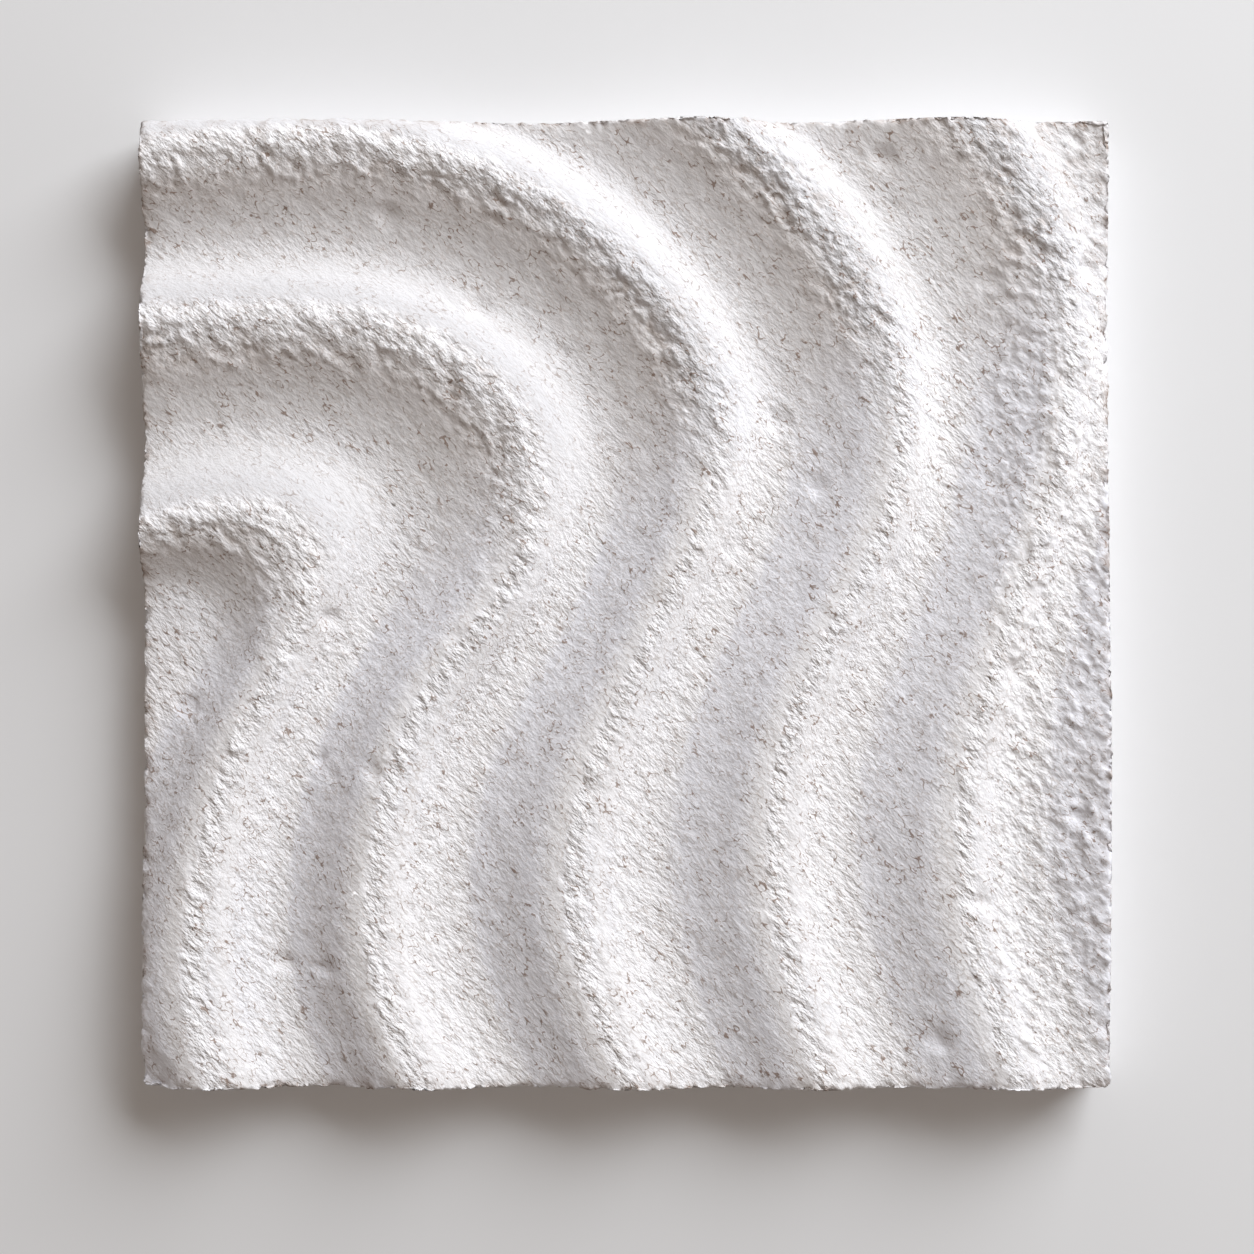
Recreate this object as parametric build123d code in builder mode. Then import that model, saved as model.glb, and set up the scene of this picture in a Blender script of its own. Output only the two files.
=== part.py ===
from build123d import *
from math import cos, pi, radians, sin
import numpy as np
import os

# Wall relief panel, cast in one piece, lying on its flat back with the waves upwards.
# Millimetres. X runs along the lower edge, Y towards the upper edge, Z out of the wall.

# Slab
panel_width = 300.0
panel_height = 300.0
crest_thickness = 27.0
corner_radius = 2.5

# Waves
relief_depth = 9.5
deeper_left = 0.28
deeper_top = 0.12
ridge_pitch = 60.0
crest_round = 8.0
curl_round = 10.0
trough_place = 0.40
trough_drift = 0.08
section_step = 7.5

# Ridge lines in ridge pitches from the middle of the panel. Each one starts at its foot
# under the lower edge, swings left at the waist, right at the shoulder, and curls away left.
first_ridge = [
    (-2.10, -2.60), (-2.24, -2.12), (-2.24, -1.62), (-2.15, -1.13), (-1.99, -0.66),
    (-1.76, -0.22), (-1.65, 0.27), (-2.10, 0.46), (-2.59, 0.35),
]
second_ridge = [
    (-1.03, -2.60), (-1.30, -1.90), (-1.28, -1.15), (-1.03, -0.45), (-0.58, 0.16),
    (-0.51, 0.88), (-1.09, 1.38), (-1.84, 1.48), (-2.59, 1.45),
]
third_ridge = [
    (0.05, -2.60), (-0.27, -1.73), (-0.18, -0.81), (0.21, 0.03), (0.47, 0.90),
    (0.04, 1.74), (-0.75, 2.24), (-1.67, 2.39), (-2.59, 2.31),
]
fourth_ridge = [
    (1.04, -2.60), (0.76, -1.55), (0.89, -0.46), (1.37, 0.54), (1.24, 1.61),
    (0.54, 2.46), (-0.42, 3.01), (-1.50, 3.27), (-2.59, 3.30),
]
fifth_ridge = [
    (2.04, -2.60), (1.71, -1.39), (1.94, -0.15), (2.29, 1.07), (2.01, 2.29),
    (1.01, 3.07), (-0.12, 3.68), (-1.34, 4.06), (-2.59, 4.23),
]

# The next ridge out lies past the right edge: the fifth one moved a pitch outwards,
# to the right at the foot and up at the tail.
sixth_ridge = [
    (x + cos(radians(90 * place / 8)), y + sin(radians(90 * place / 8)))
    for place, (x, y) in enumerate(fifth_ridge)
]

# Foot of the slope inside the first ridge, where the flat hollow begins.
hollow_edge = [
    (-2.66, -2.60), (-2.78, -2.12), (-2.76, -1.62), (-2.63, -1.13), (-2.47, -0.72),
    (-2.31, -0.44), (-2.17, -0.12), (-2.33, 0.05), (-2.67, 0.02),
]


def off_centre(places):
    """How far places lie to the left and to the top, 1 being at the edges of the panel."""
    return -places[:, 0] / (panel_width / 2), places[:, 1] / (panel_height / 2)


def trough(places):
    """Share of the way to the next ridge where the trough lies: close to the upper right."""
    left, top = off_centre(places)
    return trough_place + trough_drift * (left - top)


# Wave count: one smooth field that is a whole number along each ridge and a share more in
# the trough outside it, carried by a thin plate spread over the points of the ridges.
ridges = [first_ridge, second_ridge, third_ridge, fourth_ridge, fifth_ridge, sixth_ridge]
posts = np.array(hollow_edge + [point for ridge in ridges for point in ridge])
levels = np.concatenate([
    trough(np.array(hollow_edge) * ridge_pitch),
    [count for count, ridge in enumerate(ridges, 1) for point in ridge],
])


def plate(points):
    """Bending of the plate at the points: a column for each post, and three for its tilt."""
    squares = ((points[:, None, :] - posts[None, :, :]) ** 2).sum(axis=2)
    bend = squares * np.log(squares + 1e-12) / 2
    return np.hstack([bend, np.ones((len(points), 1)), points])


tilt = plate(posts)[:, len(posts):]
stiffness = np.vstack([plate(posts), np.hstack([tilt.T, np.zeros((3, 3))])])
loads = np.linalg.solve(stiffness, np.concatenate([levels, np.zeros(3)]))


def height(places):
    """Height of the waves: steep outside a rounded crest, then a long rise to the next one.

    The crests are level, and the troughs are cut deeper towards the upper left corner. The
    first two crests grow broader where they curl away to the left edge.
    """
    left, top = off_centre(places)
    count = plate(places / ridge_pitch) @ loads
    share = np.maximum(count, trough(places)) % 1
    falling = share / trough(places)
    rising = (1 - share) / (1 - trough(places))
    swing = np.sin(pi / 2 * np.minimum(falling, rising))
    curl = np.maximum(left, 0) ** 2 * (1 + top) * np.clip(3 - count, 0, 1)
    ease = pi * (crest_round + curl_round * curl) / ridge_pitch
    scoop = (np.sqrt(swing**2 + ease**2) - ease) / (np.sqrt(1 + ease**2) - ease)
    return crest_thickness - relief_depth * (1 + deeper_left * left + deeper_top * top) * scoop


# Cross sections from the lower edge to the upper one, an even step apart and reaching one
# step past the panel all round, and the wave face through them.
columns = round(panel_width / section_step) + 2
rows = round(panel_height / section_step) + 2
across = (np.arange(columns + 1) / columns - 0.5) * (panel_width + 2 * section_step)
upwards = (np.arange(rows + 1) / rows - 0.5) * (panel_height + 2 * section_step)
sections = []
for y in upwards:
    places = np.column_stack([across, np.full(columns + 1, y)])
    heights = height(places)
    points = [(float(x), float(y), float(z)) for x, z in zip(across, heights)]
    sections.append(Wire([Edge.make_spline(points, parameters=range(columns + 1))]))
waves = Shell.make_loft(sections).face()

# The block is parted along the waves, and the lower piece is the panel.
with BuildPart() as block:
    with BuildSketch():
        RectangleRounded(panel_width, panel_height, corner_radius)
    extrude(amount=crest_thickness + relief_depth)
    split(bisect_by=waves, keep=Keep.ALL)

with BuildPart() as relief_panel:
    add(block.solids().sort_by(Axis.Z)[0])

relief_panel.part.label = "relief_panel"
os.makedirs("parts", exist_ok=True)
export_step(relief_panel.part, "parts/relief_panel.step")
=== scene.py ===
from math import cos, radians, sin

import bmesh
import bpy
import numpy as np
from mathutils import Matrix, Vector
from mathutils.bvhtree import BVHTree


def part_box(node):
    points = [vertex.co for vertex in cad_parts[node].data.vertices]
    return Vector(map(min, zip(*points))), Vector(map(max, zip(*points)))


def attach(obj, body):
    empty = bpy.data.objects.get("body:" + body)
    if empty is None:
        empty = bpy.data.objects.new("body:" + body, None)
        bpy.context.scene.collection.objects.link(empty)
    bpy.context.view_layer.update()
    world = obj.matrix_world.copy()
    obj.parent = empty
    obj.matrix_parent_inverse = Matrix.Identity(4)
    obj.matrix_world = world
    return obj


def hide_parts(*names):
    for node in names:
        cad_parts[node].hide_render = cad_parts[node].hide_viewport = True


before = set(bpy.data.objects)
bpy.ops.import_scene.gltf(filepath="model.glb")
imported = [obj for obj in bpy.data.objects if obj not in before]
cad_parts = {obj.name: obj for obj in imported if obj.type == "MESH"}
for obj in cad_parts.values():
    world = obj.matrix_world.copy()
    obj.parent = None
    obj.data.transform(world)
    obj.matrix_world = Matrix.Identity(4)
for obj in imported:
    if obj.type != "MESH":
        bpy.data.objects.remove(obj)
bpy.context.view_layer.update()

# Wall relief panel of cast plaster, lying on its back. Metres, as the frame is.
# Sizes in the node trees are millimetres, the measure in which plaster texture is judged.

scene = bpy.context.scene
scene.view_settings.view_transform = "Standard"

node_name = "relief_panel"
low, high = (Vector(corner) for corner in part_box(node_name))
half_width = (high.x - low.x) / 2
half_height = (high.y - low.y) / 2

# The same values as in the part's source
corner_radius = 0.0025
relief_depth = 0.0095
deeper_left = 0.28
deeper_top = 0.12

# Mesh over the front and down the sides
squares_across = 420
side_rows = 16
most_triangles = 190000

# What the skin takes away or adds, in millimetres
skin_sizes = {
    "Crest wear": 0.9,
    "Lumps": 1.2,
    "Clods": 2.3,
    "Crumbs": 0.8,
    "Sides": 0.6,
    "Scoops": 1.6,
    "Edge wear": 0.5,
    "Edge bites": 2.2,
    "Corner chips": 1.6,
}
chipped_corners = ((147, 146, 24), (-147, -146, 24))

# Colours of the plaster, of the dust and dirt in it, and of the shade and highlight painted on it
pink_white = (0.895, 0.872, 0.88, 1)
blue_white = (0.885, 0.873, 0.90, 1)
pale_and_lit_white = (0.925, 0.905, 0.91, 1)
lit_slope_shade_grey = (0.72, 0.705, 0.715, 1)
upper_flank_shade_grey = (0.73, 0.69, 0.675, 1)
lower_flank_shade_lilac = (0.82, 0.815, 0.865, 1)
hollow_shade_grey = (0.79, 0.77, 0.772, 1)
dust_and_shade_brown = (0.46, 0.385, 0.335, 1)
dirt_brown = (0.22, 0.125, 0.075, 1)

# Floor, backdrop and light
floor_reach = 1.3
floor_gap = 0.0004
floor_grey = (0.80, 0.795, 0.795, 1)
backdrop = (0.84, 0.835, 0.835, 1)
lamp_bearing = radians(51)
lamp_lift = radians(32)
lamp_distance = 2.4
lamp_width = 1.9
lamp_power = 83
lamp_colour = (0.915, 0.955, 1.0)
room_colour = (1.0, 0.87, 0.77, 1)
room_strength = 0.26

# Camera
lens_length = 72.7
sensor_width = 36
eye_place = (0.0006, -0.0071, 0.802)


class Term:
    """One socket of a node tree, that takes part in plain sums."""

    def __init__(self, bench, socket):
        self.bench = bench
        self.socket = socket

    def sum(self, operation, *others):
        sockets = dict(enumerate((self,) + others))
        return self.bench.add("ShaderNodeMath", {"operation": operation}, sockets)

    def turned(self, operation, other):
        return self.bench.add("ShaderNodeMath", {"operation": operation}, {0: other, 1: self})

    def __add__(self, other):
        return self.sum("ADD", other)

    def __radd__(self, other):
        return self.turned("ADD", other)

    def __sub__(self, other):
        return self.sum("SUBTRACT", other)

    def __rsub__(self, other):
        return self.turned("SUBTRACT", other)

    def __mul__(self, other):
        return self.sum("MULTIPLY", other)

    def __rmul__(self, other):
        return self.turned("MULTIPLY", other)

    def __truediv__(self, other):
        return self.sum("DIVIDE", other)

    def least(self, other):
        return self.sum("MINIMUM", other)

    def most(self, other):
        return self.sum("MAXIMUM", other)

    def step(self, start, end):
        """Eases from 0 at the start to 1 at the end."""
        return self.bench.add(
            "ShaderNodeMapRange",
            {"interpolation_type": "SMOOTHSTEP"},
            {"Value": self, "From Min": start, "From Max": end},
        )


class Bench:
    """A node tree in the making, with the one way of adding a node to it."""

    def __init__(self, tree):
        self.tree = tree
        tree.nodes.clear()

    def add(self, kind, settings=None, sockets=None, out=0):
        node = self.tree.nodes.new(kind)
        for name, value in (settings or {}).items():
            setattr(node, name, value)
        for key, value in (sockets or {}).items():
            if isinstance(value, Term):
                self.tree.links.new(value.socket, node.inputs[key])
            else:
                node.inputs[key].default_value = value
        return Term(self, node.outputs[out]) if len(node.outputs) else node

    def vector(self, operation, *sockets):
        return self.add("ShaderNodeVectorMath", {"operation": operation}, dict(enumerate(sockets)))

    def length(self, operation, *sockets):
        settings = {"operation": operation}
        return self.add("ShaderNodeVectorMath", settings, dict(enumerate(sockets)), "Value")

    def millimetres(self, place):
        return self.vector("MULTIPLY", place, (1000, 1000, 1000))

    def along(self, axis, place):
        return self.add("ShaderNodeSeparateXYZ", None, {"Vector": place}, axis)

    def turn(self, place, angles, centre=(0, 0, 0)):
        return self.add(
            "ShaderNodeVectorRotate", {"rotation_type": "EULER_XYZ"},
            {"Vector": place, "Center": centre, "Rotation": angles},
        )

    def cloud(self, place, size, seed, detail=2.0, rough=0.5, out=0):
        """Cloudy noise between 0 and 1, whose lumps are about the size across.

        Each cloud is turned by its own angle about its own centre, so that no two share a grain.
        """
        place = self.turn(place, (0.7, 0.5, seed), (seed * 131.7, seed * 57.3, seed * 17.9))
        return self.add(
            "ShaderNodeTexNoise", None,
            {"Vector": place, "Scale": 1 / size, "Detail": detail, "Roughness": rough},
            out,
        )

    def strokes(self, place, size, seed, wide):
        """Thin wandering lines, 1 along them and 0 beside them."""
        away = (self.cloud(place, size, seed, detail=0.0, rough=0.6) - 0.5).sum("ABSOLUTE")
        return 1 - away.step(wide * 0.3, wide)

    def drawn(self, place, longer):
        """Places drawn out along the sweep of the trowel, from upper left to lower right."""
        return self.vector("MULTIPLY", self.turn(place, (0, 0, radians(42))), (1 / longer, 1, 1))

    def cells(self, place, size, out):
        """Crazy paving, with stones about the size across."""
        return self.add("ShaderNodeTexVoronoi", None, {"Vector": place, "Scale": 1 / size}, out)

    def seen(self):
        """1 where the camera looks at the background, straight or by way of metal or glass."""
        looks = self.add("ShaderNodeLightPath", None, None, "Is Camera Ray")
        for ray in ("Is Glossy Ray", "Is Transmission Ray"):
            looks = looks.most(self.add("ShaderNodeLightPath", None, None, ray))
        return looks

    def blend(self, share, first, second):
        """A colour between two colours."""
        return self.add("ShaderNodeMix", {"data_type": "RGBA"}, {0: share, 6: first, 7: second}, 2)


def upper_part(x, y):
    """1 where the ridges curl away at the upper left, 0 where they run down to their feet."""
    return (y - x * 0.38).step(15, 75)


def cast_face():
    """The wave face of the solid, for dropping points onto."""
    solid = bmesh.new()
    solid.from_mesh(bpy.data.objects[node_name].data)
    bmesh.ops.remove_doubles(solid, verts=solid.verts, dist=1e-6)
    return BVHTree.FromBMesh(solid)


def rounded_plan():
    """Plan of the front: a square grid with its corner squares pressed round."""
    steps = np.linspace(-1, 1, squares_across + 1)
    x, y = np.meshgrid(steps * half_width, steps * half_height)
    core_x = np.clip(x, corner_radius - half_width, half_width - corner_radius)
    core_y = np.clip(y, corner_radius - half_height, half_height - corner_radius)
    over_x = x - core_x
    over_y = y - core_y
    reach = np.hypot(over_x, over_y)
    square = np.maximum(np.abs(over_x), np.abs(over_y))
    press = np.where(reach > 0, square / np.maximum(reach, 1e-9), 1)
    return core_x + over_x * press, core_y + over_y * press


def blank_panel():
    """The panel as it leaves the mould: front dropped on the wave face, sides, flat back."""
    face = cast_face()
    x, y = rounded_plan()
    top = np.zeros_like(x)
    lean = np.zeros(x.shape + (3,))

    # Points on the outline are dropped from just inside it, so that each one meets the face
    inside = 0.9992
    above = high.z + 0.05
    for index in np.ndindex(x.shape):
        start = Vector((x[index] * inside, y[index] * inside, above))
        hit, normal, _, _ = face.ray_cast(start, Vector((0, 0, -1)))
        top[index] = hit.z
        lean[index] = normal

    # Squares of the front, rings of the sides below its rim, and one face for the back
    count = squares_across + 1
    front = count * count
    number = np.arange(front).reshape(count, count)
    rim = np.concatenate([number[0, :-1], number[:-1, -1], number[-1, :0:-1], number[:0:-1, 0]])
    around = len(rim)
    points = np.column_stack([x.ravel(), y.ravel(), top.ravel()])
    rim_points = points[rim]
    rings = [rim]
    for row in range(1, side_rows + 1):
        rings.append(len(points) + np.arange(around))
        points = np.vstack([points, rim_points * (1, 1, 1 - row / side_rows)])
    squares = [np.column_stack([
        number[:-1, :-1].ravel(), number[:-1, 1:].ravel(),
        number[1:, 1:].ravel(), number[1:, :-1].ravel(),
    ])]
    for upper, lower in zip(rings, rings[1:]):
        squares.append(np.column_stack([upper, lower, np.roll(lower, -1), np.roll(upper, -1)]))
    faces = np.vstack(squares).tolist()
    faces.append(rings[-1][::-1].tolist())

    mesh = bpy.data.meshes.new("panel")
    mesh.from_pydata(points.tolist(), [], faces, shade_flat=False)
    mesh.update()

    # Marks on each point: millimetres along the surface to the front's edge, share of the
    # way up from the trough to the crest, lean of the surface, and 1 on the front
    on_front = np.arange(len(points)) < front
    gap = np.minimum(half_width - np.abs(points[:, 0]), half_height - np.abs(points[:, 1]))
    drop = np.zeros(len(points))
    drop[front:] = np.tile(rim_points[:, 2], side_rows) - points[front:, 2]
    depth = relief_depth * (
        1 - deeper_left * points[:, 0] / half_width + deeper_top * points[:, 1] / half_height
    )
    slope = np.zeros((len(points), 3))
    slope[:front] = lean.reshape(-1, 3)
    for name, values in (
        ("edge", 1000 * np.where(on_front, gap, drop)),
        ("rise", np.clip(1 - (high.z - points[:, 2]) / depth, 0, 1)),
        ("to_right", slope[:, 0]),
        ("to_top", slope[:, 1]),
        ("front", on_front),
    ):
        layer = mesh.attributes.new(name, "FLOAT", "POINT")
        layer.data.foreach_set("value", np.asarray(values, dtype=np.float32))
    panel = bpy.data.objects.new("plaster_panel", mesh)
    scene.collection.objects.link(panel)
    return panel


def plaster_skin(panel, plaster, sizes):
    """Works the face of the panel: lumps, clods and crumbs, scoops, chips and worn edges."""
    tree = bpy.data.node_groups.new("plaster skin", "GeometryNodeTree")
    bench = Bench(tree)
    door = tree.interface
    door.new_socket("Panel", in_out="OUTPUT", socket_type="NodeSocketGeometry")
    door.new_socket("Panel", in_out="INPUT", socket_type="NodeSocketGeometry")
    for name in sizes:
        door.new_socket(name, in_out="INPUT", socket_type="NodeSocketFloat")
    door.new_socket("Plaster", in_out="INPUT", socket_type="NodeSocketMaterial")

    def given(name):
        return bench.add("NodeGroupInput", None, None, name)

    def mark(name):
        return bench.add("GeometryNodeInputNamedAttribute", {"data_type": "FLOAT"}, {"Name": name})

    place = bench.millimetres(bench.add("GeometryNodeInputPosition"))
    x = bench.along("X", place)
    y = bench.along("Y", place)
    edge = mark("edge")
    rise = mark("rise")
    front = mark("front")
    lumps = bench.cloud(place, size=15.0, seed=2)

    # The upper curls are coarse from the crest inwards, and wiped smooth outside it. Further
    # down, the crest and its outer side are flaked and the inner flank is smooth.
    upper = upper_part(x, y)
    right = x.step(-20, 55)
    outward = mark("to_right") * (1 - upper * 0.5) + mark("to_top") * upper * 0.86
    inner = (0 - outward).step(-0.04, 0.08)
    outer = 1 - inner
    shoulder = rise.step(0.72, 0.95) * (1 - right) + rise.step(0.20, 0.70) * right
    curl = inner * rise.step(0.35, 0.75) + outer * shoulder
    foot = inner * rise.step(0.94, 1.0) + outer * rise.step(0.60, 0.95)
    crest = (upper * curl + (1 - upper) * foot) * front
    wiped = (outward + (lumps - 0.5) * 0.5).step(0.18, 0.40) * upper * (1 - right * 0.9)
    wiped = wiped * (1 - rise.step(0.72, 0.95)) * front
    # The flank turned from the lamp, which the finish paints in shade
    lee = inner * (1 - rise.step(0.60, 0.95)) * (0 - outward).step(0.06, 0.20) * front

    # How coarse it is: in patches, less on top of the upper curls, ragged at the right edge
    patches = bench.cloud(place, size=11.0, seed=9).step(0.36, 0.62)
    smoothed = upper * (1 - right) * rise.step(0.88, 1.0) * 0.45
    rough = crest * (0.55 + upper * 0.35) * (0.62 + patches * 0.5) * (1 - smoothed)
    ragged = x.step(100, 125) * front
    coarse = (1 - wiped * 0.90) * (0.18 + rough).most(ragged * 0.8)

    # Flakes broken off in shelves, between rounded lumps that meet in sharp crevices
    swirl = bench.cloud(place, size=7.0, seed=1, out="Color")
    bent = bench.vector("ADD", place, bench.vector("MULTIPLY", swirl, (5.0, 5.0, 5.0)))
    flaky = bench.drawn(bent, 1.8)
    clods = bench.cloud(flaky, size=4.6, seed=3, detail=3.0, rough=0.62)
    crumbs = bench.cloud(flaky, size=2.0, seed=4, rough=0.6)
    shelves = bench.cloud(flaky, size=5.5, seed=8, rough=0.55) * 8
    shelf = (shelves.sum("FLOOR") + shelves.sum("FRACT").step(0.3, 0.7)) / 8
    lumpy = ((clods - 0.5).sum("ABSOLUTE") * 3.2).least(1.0) * 0.7 + (shelf - 0.35)
    crumby = ((crumbs - 0.5).sum("ABSOLUTE") * 3.2).least(1.0)

    # Edge rubbed off and bitten into, and two corners broken
    rim = (0 - edge / 1.4).sum("EXPONENT")
    bites = bench.cloud(place, size=6.0, seed=5).step(0.50, 0.66)
    nicks = bench.cloud(place, size=2.2, seed=6, detail=1.0).step(0.48, 0.70)
    bitten = (bites + nicks * 0.5) * (1 - wiped * 0.8)
    broken = 0
    for corner in chipped_corners:
        broken = broken + (1 - bench.length("DISTANCE", place, corner).step(3, 10))

    # Shallow scoops where a flake came away, most of them along the right-hand edge
    scoops = (1 - bench.cells(bent, 21.0, "Distance") / 0.26).most(0.0)
    lost = bench.cells(place, 21.0, "Color").step(0.60, 0.62).most(x.step(105, 125))

    sink = (
        given("Crest wear") * rise.step(0.55, 1.0) * front
        + given("Lumps") * (0.5 - lumps) * (0.5 + crest * 0.5)
        + given("Clods") * (0.35 - lumpy) * coarse
        + given("Crumbs") * (0.35 - crumby) * (0.2 + coarse * 0.8)
        + given("Scoops") * scoops.step(0.0, 1.0) * lost * front
        + given("Sides") * (1 - front)
        + rim * (given("Edge wear") + given("Edge bites") * bitten)
        + given("Corner chips") * broken * (1.0 - lumpy * 0.6)
    )
    inwards = bench.add(
        "ShaderNodeVectorMath", {"operation": "SCALE"},
        {0: bench.add("GeometryNodeInputNormal"), "Scale": sink * -0.001},
    )
    off_back = bench.along("Z", place).sum("GREATER_THAN", 0.01)
    worked = bench.add(
        "GeometryNodeSetPosition", None,
        {"Geometry": given("Panel"), "Offset": inwards, "Selection": off_back},
    )

    # Marks that the finish reads: crevices where dust settles and shade is painted, where the
    # plaster is worn or wiped, and the flank turned from the lamp
    # Dust and painted shade in the crevices between the clods
    sunk = (1 - lumpy.step(0.04, 0.24)) * coarse * (0.15 + upper * 0.85)
    for name, value in (("sunk", sunk), ("wiped", wiped), ("lee", lee), ("crest", crest)):
        worked = bench.add(
            "GeometryNodeStoreNamedAttribute", {"data_type": "FLOAT", "domain": "POINT"},
            {"Geometry": worked, "Name": name, "Value": value},
        )
    whole = bench.add("GeometryNodeRealizeInstances", None, {"Geometry": worked})
    dressed = bench.add(
        "GeometryNodeSetMaterial", None, {"Geometry": whole, "Material": given("Plaster")}
    )
    bench.add("NodeGroupOutput", None, {"Panel": dressed})

    work = panel.modifiers.new("plaster skin", "NODES")
    work.node_group = tree
    names = {item.name: item.identifier for item in door.items_tree if item.in_out == "INPUT"}
    for name, value in sizes.items():
        work[names[name]] = float(value)
    work[names["Plaster"]] = plaster
    make_plain(panel, work)


def make_plain(panel, modifier):
    """Takes the modifier's result as the panel's own mesh."""
    depsgraph = bpy.context.evaluated_depsgraph_get()
    mesh = bpy.data.meshes.new_from_object(panel.evaluated_get(depsgraph))
    panel.modifiers.remove(modifier)
    panel.data = mesh


def thin_out(panel):
    """Keeps the triangles where the surface is rough, and spares them where it is smooth."""
    triangles = sum(len(face.vertices) - 2 for face in panel.data.polygons)
    thin = panel.modifiers.new("thin out", "DECIMATE")
    thin.ratio = most_triangles / triangles
    make_plain(panel, thin)

    # Nothing stands out of the solid's box
    corners = panel.data.vertices
    points = np.empty(3 * len(corners), dtype=np.float32)
    corners.foreach_get("co", points)
    points = np.clip(points.reshape(-1, 3), low, high)
    corners.foreach_set("co", points.ravel())
    panel.data.update()


def plaster_finish():
    """Matt white plaster, brown in the pits and hairline cracks. Painted shade lies in the hollows,
    the crevices and on the flanks turned from the lamp, and tones down the lit upper slopes; the lit
    side of the lower slopes has a painted highlight.
    """
    plaster = bpy.data.materials.new("plaster")
    plaster.use_nodes = True
    bench = Bench(plaster.node_tree)
    place = bench.millimetres(bench.add("ShaderNodeTexCoord", None, None, "Object"))
    x = bench.along("X", place)
    y = bench.along("Y", place)
    edge, rise, front, wiped, sunk, lee, crest = (
        bench.add("ShaderNodeAttribute", {"attribute_name": name}, None, "Fac")
        for name in ("edge", "rise", "front", "wiped", "sunk", "lee", "crest")
    )

    # Where the surface is marked and where it is grainy; where it is paler, on the crests and the
    # trough floors at the left, and a painted highlight on the lit side of the lower slopes
    upper = upper_part(x, y)
    marked = (1 - wiped * 0.45) * (0.3 + front * 0.7)
    sunny = (1 - upper) * (1 - lee) * rise.step(0.30, 0.60) * (1 - crest)
    grainy = 1 - (wiped * 0.40).most(lee * 0.5).most(sunny * 0.5)
    bed = (1 - rise.step(0.25, 0.65)) * (1 - upper)
    # Painted shade: the lit upper right is painted greyer, to tone down its light
    dimmed_upper_right = upper * x.step(-60, 20) * (1 - lee) * rise.step(0.1, 0.4)
    pale_and_lit = crest.most(sunny).most(bed * x.step(-130, -100)) * (1 - dimmed_upper_right)
    # Painted shade in the hollows and down the sides of the upper curls
    hollow_shade = (1 - rise.step(0.1, 0.6)) * upper

    # Fine grit, hairline strokes with dust in them, and brown cracks and pits
    swept = bench.drawn(place, 2.3)
    grit = bench.cloud(swept, size=1.2, seed=2, detail=3.0, rough=0.65)
    crumb = bench.cloud(swept, size=2.9, seed=7, detail=3.0, rough=0.62)
    stain = bench.cloud(place, size=6.5, seed=4, detail=1.0)
    scratches = bench.strokes(swept, size=1.25, seed=9, wide=0.06) * crumb.step(0.38, 0.52)
    cracks = bench.strokes(swept, size=1.55, seed=5, wide=0.055) * stain.step(0.42, 0.58)
    cracks = cracks * grit.step(0.48, 0.53)
    pits = (1 - grit.step(0.265, 0.305)) * stain.step(0.46, 0.52)
    grime = (0 - edge / 1.8).sum("EXPONENT") * stain.step(0.44, 0.58)
    caked = grime * crumb.step(0.50, 0.60)
    # Dust in the strokes, along the edges and in the crevices, where painted shade lies too
    dust_and_shade = (scratches * 0.40).most(sunk * 0.5).most(grime * 0.7) * marked
    dirt = (cracks * 0.75).most(pits * 0.75).most(caked * 0.8) * marked

    tint = bench.cloud(place, size=45.0, seed=6, detail=1.0).step(0.38, 0.62)
    colour = bench.blend(tint, pink_white, blue_white)
    for share, other in (
        # Paler crests, partly a painted highlight, paler trough floors, and a painted highlight on
        # the lower slopes' lit side
        (pale_and_lit * 0.8, pale_and_lit_white),
        # Painted shade: the wiped slopes that face the lamp, and the upper right, are greyed to tone
        # their light down
        (wiped.most(dimmed_upper_right * 0.8), lit_slope_shade_grey),
        # Painted shade on the flanks turned from the lamp, warm on the upper curls and lilac lower
        # down
        (lee * upper * 0.8, upper_flank_shade_grey),
        (lee * (1 - upper) * 0.7, lower_flank_shade_lilac),
        (hollow_shade * 0.8, hollow_shade_grey),
        (dust_and_shade, dust_and_shade_brown),
        (dirt, dirt_brown),
    ):
        colour = bench.blend(share, colour, other)

    lumpy = 0.7 + crest * (1.7 - upper * 0.8) + bed * 0.5
    grain = ((grit - 0.5) * 0.5 + (crumb - 0.5) * lumpy) * grainy
    bump = bench.add("ShaderNodeBump", None, {"Height": grain, "Distance": 0.001, "Strength": 1.0})
    shader = bench.add("ShaderNodeBsdfPrincipled", None, {
        "Base Color": colour,
        "Roughness": 0.86 + grit * 0.12,
        "Normal": bump,
        "Specular IOR Level": 0.12,
    })
    bench.add("ShaderNodeOutputMaterial", None, {"Surface": shader})
    return plaster


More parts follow.
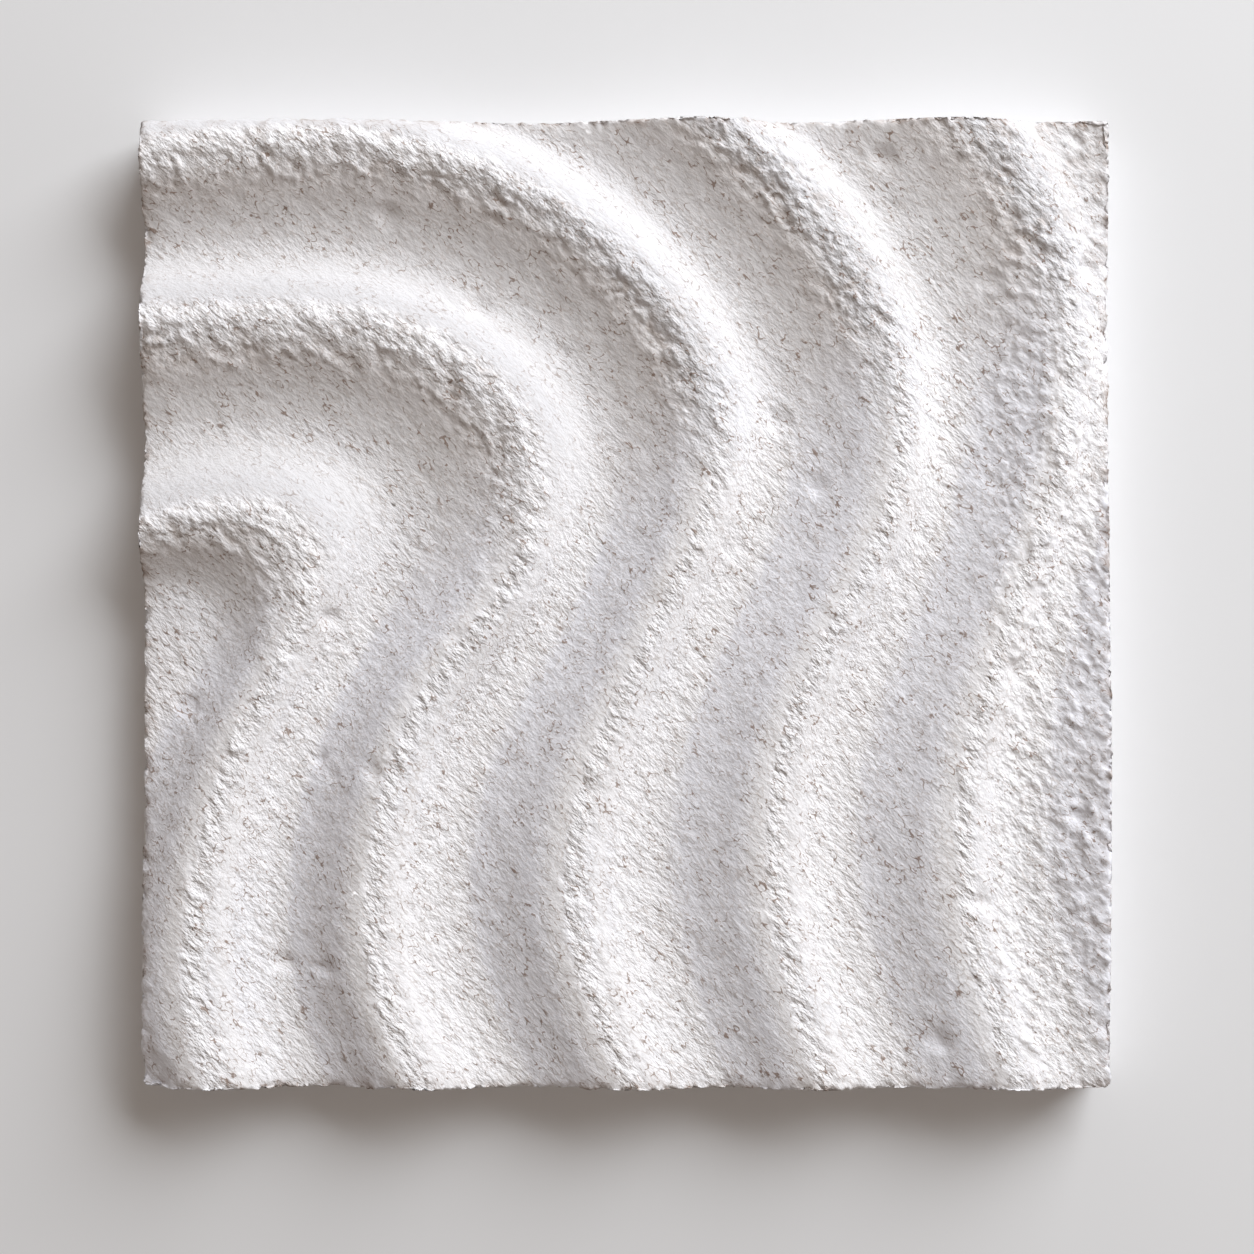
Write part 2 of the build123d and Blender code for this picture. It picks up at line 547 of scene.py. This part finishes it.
def pale_floor():
    """Plain pale floor under the panel, that fades into the backdrop far from it."""
    corners = [(-1, -1), (1, -1), (1, 1), (-1, 1)]
    points = [(x * floor_reach, y * floor_reach, low.z - floor_gap) for x, y in corners]
    mesh = bpy.data.meshes.new("floor")
    mesh.from_pydata(points, [], [(0, 1, 2, 3)])
    floor = bpy.data.objects.new("floor", mesh)
    scene.collection.objects.link(floor)

    paint = bpy.data.materials.new("floor paint")
    paint.use_nodes = True
    bench = Bench(paint.node_tree)
    shader = bench.add(
        "ShaderNodeBsdfPrincipled", None,
        {"Base Color": floor_grey, "Roughness": 0.95, "Specular IOR Level": 0.1},
    )
    haze = bench.add("ShaderNodeEmission", None, {"Color": backdrop, "Strength": 1.0})
    away = bench.length("LENGTH", bench.add("ShaderNodeTexCoord", None, None, "Object"))
    faded = away.step(0.4, 1.2) * bench.seen()
    both = bench.add("ShaderNodeMixShader", None, {0: faded, 1: shader, 2: haze})
    bench.add("ShaderNodeOutputMaterial", None, {"Surface": both})
    mesh.materials.append(paint)


def soft_light():
    """One wide lamp from the upper right, and a low even light from all round."""
    towards = Vector((
        cos(lamp_bearing) * cos(lamp_lift), sin(lamp_bearing) * cos(lamp_lift), sin(lamp_lift)
    ))
    lamp = bpy.data.lights.new("window", "AREA")
    lamp.shape = "SQUARE"
    lamp.size = lamp_width
    lamp.energy = lamp_power
    lamp.color = lamp_colour
    window = bpy.data.objects.new("window", lamp)
    window.location = towards * lamp_distance
    window.rotation_euler = towards.to_track_quat("Z", "Y").to_euler()
    scene.collection.objects.link(window)

    world = bpy.data.worlds.new("room")
    scene.world = world
    world.use_nodes = True
    bench = Bench(world.node_tree)
    even = bench.add("ShaderNodeBackground", None, {"Color": room_colour, "Strength": room_strength})
    back = bench.add("ShaderNodeBackground", None, {"Color": backdrop, "Strength": 1.0})
    both = bench.add("ShaderNodeMixShader", None, {0: bench.seen(), 1: even, 2: back})
    bench.add("ShaderNodeOutputWorld", None, {"Surface": both})


def camera():
    """Straight above the panel, as the photograph was taken straight in front of it."""
    lens = bpy.data.cameras.new("camera")
    lens.sensor_fit = "HORIZONTAL"
    lens.sensor_width = sensor_width
    lens.lens = lens_length
    eye = bpy.data.objects.new("camera", lens)
    eye.location = eye_place
    scene.collection.objects.link(eye)
    scene.camera = eye


plaster = plaster_finish()
panel = blank_panel()
plaster_skin(panel, plaster, skin_sizes)
thin_out(panel)
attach(panel, "root")
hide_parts(node_name)
pale_floor()
soft_light()
camera()
